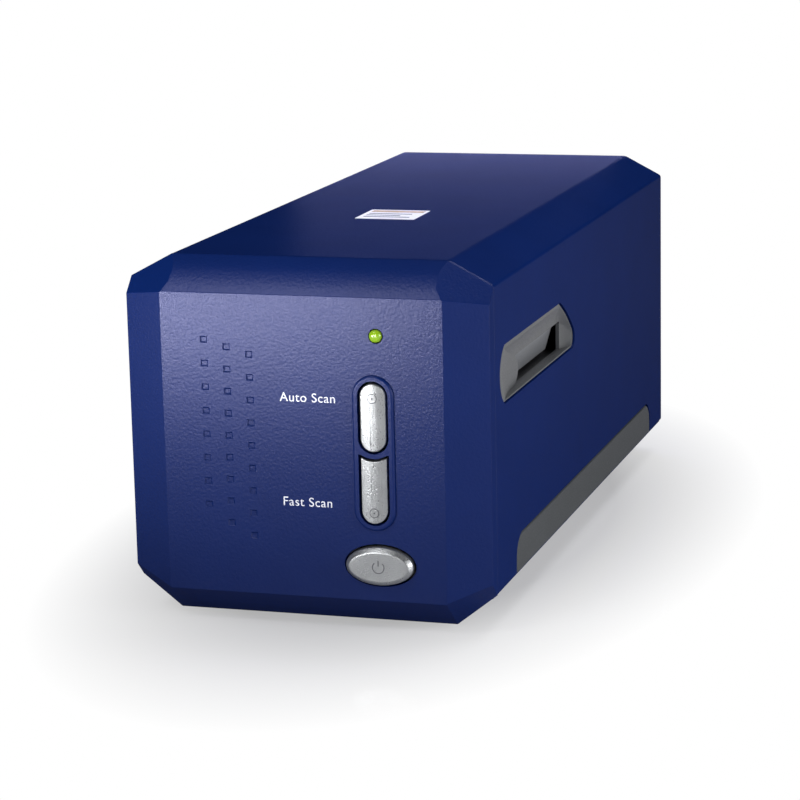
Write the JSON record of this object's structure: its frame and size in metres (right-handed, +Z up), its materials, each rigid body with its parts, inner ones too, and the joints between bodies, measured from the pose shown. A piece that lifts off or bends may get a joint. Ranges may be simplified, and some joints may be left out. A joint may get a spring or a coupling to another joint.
{
  "type": "film scanner",
  "caption": "Desktop film negative scanner: faceted box with a film slot through its sides, dust flaps, push buttons and a scanning carriage inside.",
  "frame": {"origin": "on the table under the middle of the scanner", "axes": "+Z up, the front with its buttons faces -Y, +X to the right seen from the front"},
  "size_m": [0.12, 0.272, 0.1185],
  "materials": {
    "blue_shell": "satin metallic paint on moulded plastic",
    "black_panel": "fine moulded grain",
    "slot_grey": "satin",
    "flap_grey": "satin",
    "strip_rubber": "matte",
    "foot_rubber": "matte",
    "silver_button": "silver metallic paint",
    "green_window": "clear tinted",
    "sticker": "printed film",
    "black_plastic": "moulded",
    "switch_black": "moulded",
    "sheet_steel": "zinc plated sheet",
    "bright_steel": "ground",
    "screw_steel": "plated",
    "circuit_board": "solder mask",
    "chip_epoxy": "moulded epoxy",
    "capacitor_sleeve": "shrink sleeve",
    "bronze": "sintered",
    "mirror_glass": "front silvered",
    "lens_glass": "coated",
    "sensor_glass": "ceramic with a window",
    "lamp_white": "white solder mask",
    "diffuser_white": "opal",
    "belt_rubber": "moulded",
    "nylon": "natural",
    "turned_aluminium": "turned",
    "socket_steel": "plated",
    "ribbon_white": "laminated"
  },
  "bodies": {
    "root": {"front_bezel": "blue_shell", "top_cover": "blue_shell", "base_pan": "blue_shell", "rear_panel": "black_panel", "side_strip_right": "strip_rubber", "side_strip_left": "strip_rubber", "slot_bezel_right": "slot_grey", "slot_bezel_left": "slot_grey", "flap_pin_right": "bright_steel", "flap_pin_left": "bright_steel", "flap_spring_right": "bright_steel", "flap_spring_left": "bright_steel", "rubber_feet": "foot_rubber", "top_label": "sticker", "led_light_pipe": "green_window", "button_board": "circuit_board", "tact_switches": "switch_black", "status_led": "green_window", "chassis": "sheet_steel", "film_guide_lower": "black_plastic", "film_guide_upper": "black_plastic", "guide_rods": "bright_steel", "timing_belt": "belt_rubber", "pulley_pins": "bright_steel", "motor_body": "sheet_steel", "motor_bracket": "sheet_steel", "main_board": "circuit_board", "board_chips": "chip_epoxy", "capacitors": "capacitor_sleeve", "usb_port": "socket_steel", "dc_jack": "black_plastic", "ribbon_cable": "ribbon_white", "home_sensor": "switch_black", "case_screws": "screw_steel", "inner_screws": "screw_steel"},
    "dust_flap_right": {"dust_flap_right": "flap_grey"},
    "dust_flap_left": {"dust_flap_left": "flap_grey"},
    "power_button": {"power_button": "silver_button", "power_plunger": "switch_black"},
    "upper_scan_button": {"upper_scan_button": "silver_button", "upper_plunger": "switch_black"},
    "lower_scan_button": {"lower_scan_button": "silver_button", "lower_plunger": "switch_black"},
    "carriage": {"carriage_frame": "black_plastic", "carriage_lid": "black_plastic", "slide_bushings": "bronze", "fold_mirror": "mirror_glass", "lens_barrel": "turned_aluminium", "lens_glass": "lens_glass", "lens_clamp": "sheet_steel", "ccd_board": "circuit_board", "ccd_sensor": "sensor_glass", "lamp_board": "lamp_white", "lamp_diffuser": "diffuser_white", "belt_clamp": "black_plastic", "carriage_screws": "screw_steel"},
    "drive_wheel": {"drive_pulley": "turned_aluminium", "drive_gear": "nylon"},
    "idler_wheel": {"idler_pulley": "turned_aluminium"},
    "motor_rotor": {"motor_pinion": "bronze"}
  },
  "joints": [
    {"name": "flap_right_hinge", "type": "hinge", "parent": "root", "child": "dust_flap_right", "pos_m": [0.0552, -0.0561, 0.0848], "axis": [0, 1, 0], "range_deg": [0, 60], "stiffness_Nm_per_rad": 0.002, "springref_deg": -11.46},
    {"name": "flap_left_hinge", "type": "hinge", "parent": "root", "child": "dust_flap_left", "pos_m": [-0.0552, -0.0561, 0.0848], "axis": [0, -1, 0], "range_deg": [0, 60], "stiffness_Nm_per_rad": 0.002, "springref_deg": -11.46},
    {"name": "power_press", "type": "slide", "parent": "root", "child": "power_button", "axis": [0, 1, 0], "range_m": [0, 0.001], "stiffness_N_per_m": 300},
    {"name": "upper_scan_press", "type": "slide", "parent": "root", "child": "upper_scan_button", "axis": [0, 1, 0], "range_m": [0, 0.001], "stiffness_N_per_m": 300},
    {"name": "lower_scan_press", "type": "slide", "parent": "root", "child": "lower_scan_button", "axis": [0, 1, 0], "range_m": [0, 0.001], "stiffness_N_per_m": 300},
    {"name": "carriage_slide", "type": "slide", "parent": "root", "child": "carriage", "axis": [0, 1, 0], "range_m": [-0.028, 0]},
    {"name": "drive_spin", "type": "hinge", "parent": "root", "child": "drive_wheel", "pos_m": [0.0507, 0.112, 0.036], "axis": [1, 0, 0], "range_deg": [0, 295]},
    {"name": "idler_spin", "type": "hinge", "parent": "root", "child": "idler_wheel", "pos_m": [0.0507, -0.03, 0.036], "axis": [1, 0, 0], "range_deg": [0, 295]},
    {"name": "motor_spin", "type": "hinge", "parent": "root", "child": "motor_rotor", "pos_m": [0.0459, 0.115, 0.05085], "axis": [1, 0, 0], "range_deg": [-1180, 0]}
  ],
  "couplings": [
    {"joint": "drive_spin", "follows": "carriage_slide", "rad_per_m": -181.82},
    {"joint": "idler_spin", "follows": "carriage_slide", "rad_per_m": -181.82},
    {"joint": "motor_spin", "follows": "carriage_slide", "rad_per_m": 727.27}
  ]
}
